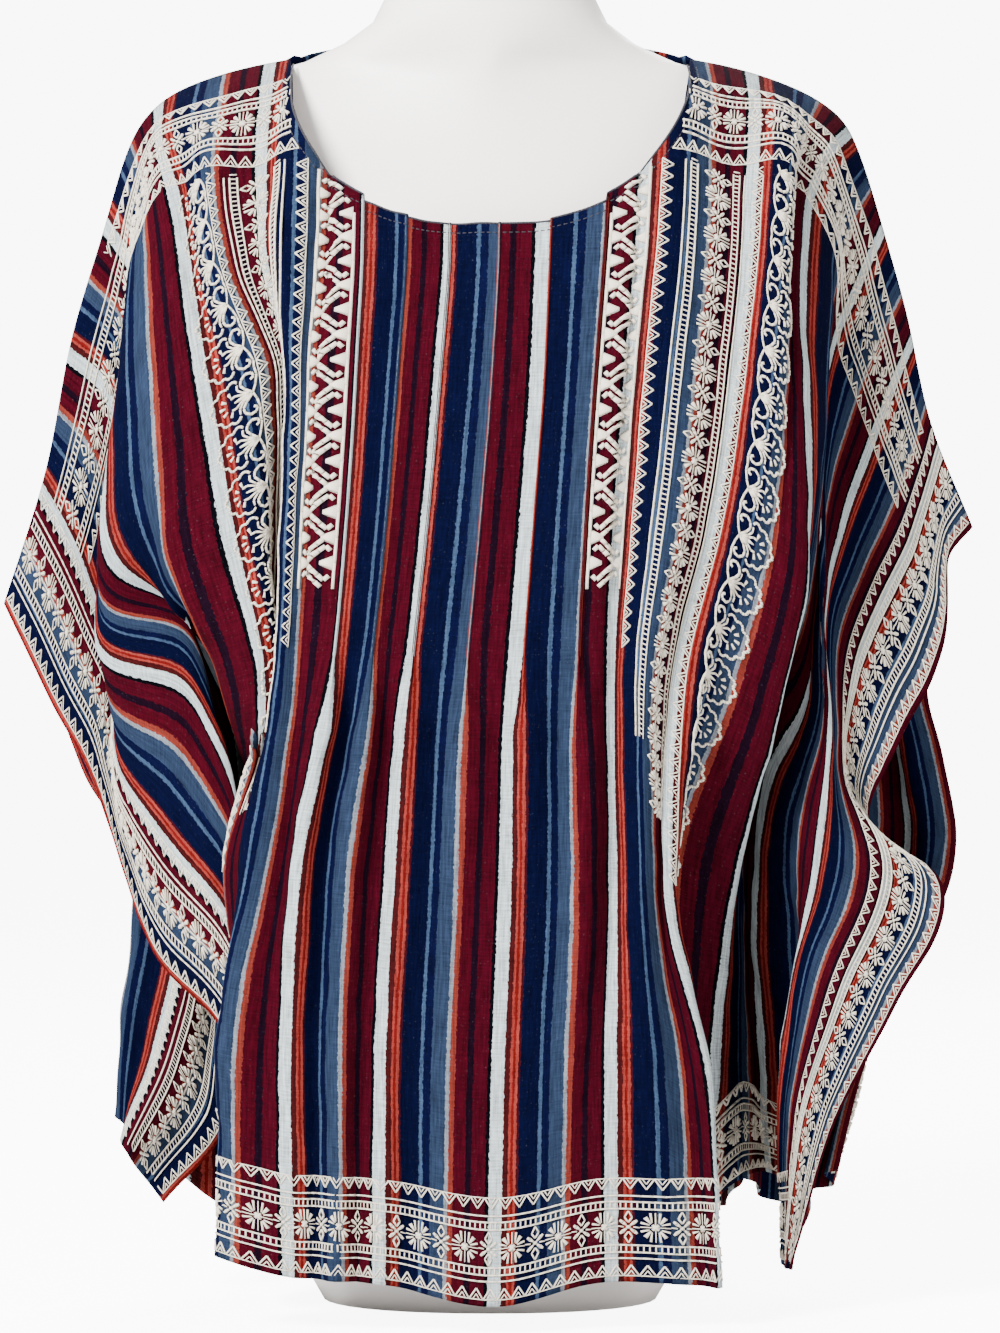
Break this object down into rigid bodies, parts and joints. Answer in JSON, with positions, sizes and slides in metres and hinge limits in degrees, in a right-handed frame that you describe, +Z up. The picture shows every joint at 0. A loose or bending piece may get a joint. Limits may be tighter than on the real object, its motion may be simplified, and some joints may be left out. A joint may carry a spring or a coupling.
{
  "type": "poncho top on torso form",
  "caption": "Striped, embroidered poncho top with open batwing sides, worn by a smooth limbless neck-and-torso form that stands on its flat foot.",
  "frame": {"origin": "centre of the form's flat foot, on the surface it stands on", "axes": "+Z up, the garment's front faces -Y, +X to a viewer's right"},
  "size_m": [0.5496, 0.2671, 0.79],
  "materials": {
    "striped_cloth": "yarn-dyed striped cotton, matt, with a light crinkle",
    "thread": "off-white embroidery thread, soft sheen",
    "form": "smooth white, satin"
  },
  "bodies": {
    "root": {"form_torso": "form", "front_panel": "striped_cloth", "back_panel": "striped_cloth", "braid_left": "thread", "braid_right": "thread"}
  },
  "joints": []
}
